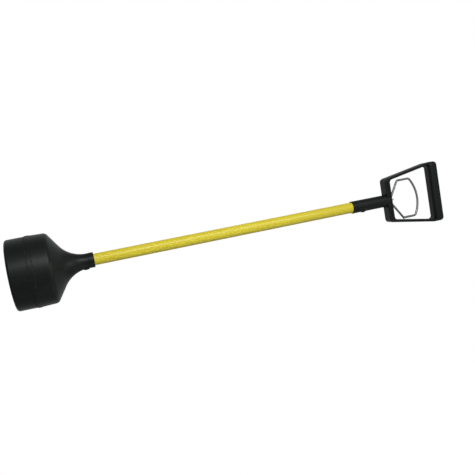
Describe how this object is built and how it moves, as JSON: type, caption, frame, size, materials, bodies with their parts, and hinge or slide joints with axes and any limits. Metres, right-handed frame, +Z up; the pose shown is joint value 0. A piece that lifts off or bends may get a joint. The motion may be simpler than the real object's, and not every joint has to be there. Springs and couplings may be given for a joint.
{
  "type": "long-handled magnetic pick-up tool",
  "caption": "Long-handled pick-up tool: closed black bell head with a lifting magnet, yellow pole, D grip and a wire release loop.",
  "frame": {"origin": "centre of the cup's flat face, which the tool stands on", "axes": "+Z runs up the pole from the cup to the D grip; X runs across the D grip, and Y runs through its opening"},
  "size_m": [0.135, 0.135, 0.9049],
  "materials": {
    "black_moulding": "satin moulded black plastic with a fine grain",
    "black_rubber": "matt black rubber",
    "yellow_fibreglass": "glossy yellow fibreglass tube with lengthwise streaks",
    "white_bush": "natural acetal",
    "black_oxide_screw": "black oxide on steel",
    "zinc_steel": "bright zinc plate",
    "pot_steel": "turned steel, lightly oiled",
    "ferrite": "ground ferrite, dark grey",
    "spring_steel": "drawn spring wire",
    "loop_wire": "bright plated wire"
  },
  "bodies": {
    "frame": {"base_cup": "black_moulding", "bell_housing": "black_moulding", "seam_gasket": "black_rubber", "pole": "yellow_fibreglass", "lower_collar": "black_moulding", "upper_collar": "black_moulding", "lower_guide_bush": "white_bush", "middle_guide_bush": "white_bush", "upper_guide_bush": "white_bush", "lower_socket_screw": "black_oxide_screw", "upper_socket_screw": "black_oxide_screw", "d_grip": "black_moulding", "spring_seat": "zinc_steel"},
    "plunger": {"magnet_pot": "pot_steel", "ring_magnet": "ferrite", "centre_core": "pot_steel", "carriage_washer": "zinc_steel", "carriage_nuts": "zinc_steel", "return_spring": "spring_steel", "pull_rod": "zinc_steel", "stop_clip": "spring_steel", "rod_eye": "zinc_steel", "eye_jam_nut": "zinc_steel"},
    "loop": {"pull_loop": "loop_wire"}
  },
  "joints": [
    {"name": "magnet_lift", "type": "slide", "parent": "frame", "child": "plunger", "axis": [0, 0, 1], "range_m": [0, 0.022], "stiffness_N_per_m": 600, "springref_m": -0.012, "deforming": ["return_spring"]},
    {"name": "loop_swing", "type": "hinge", "parent": "plunger", "child": "loop", "pos_m": [0, 0, 0.7874], "axis": [0.9968, -0.0802, 0], "range_deg": [-10, 10]}
  ]
}
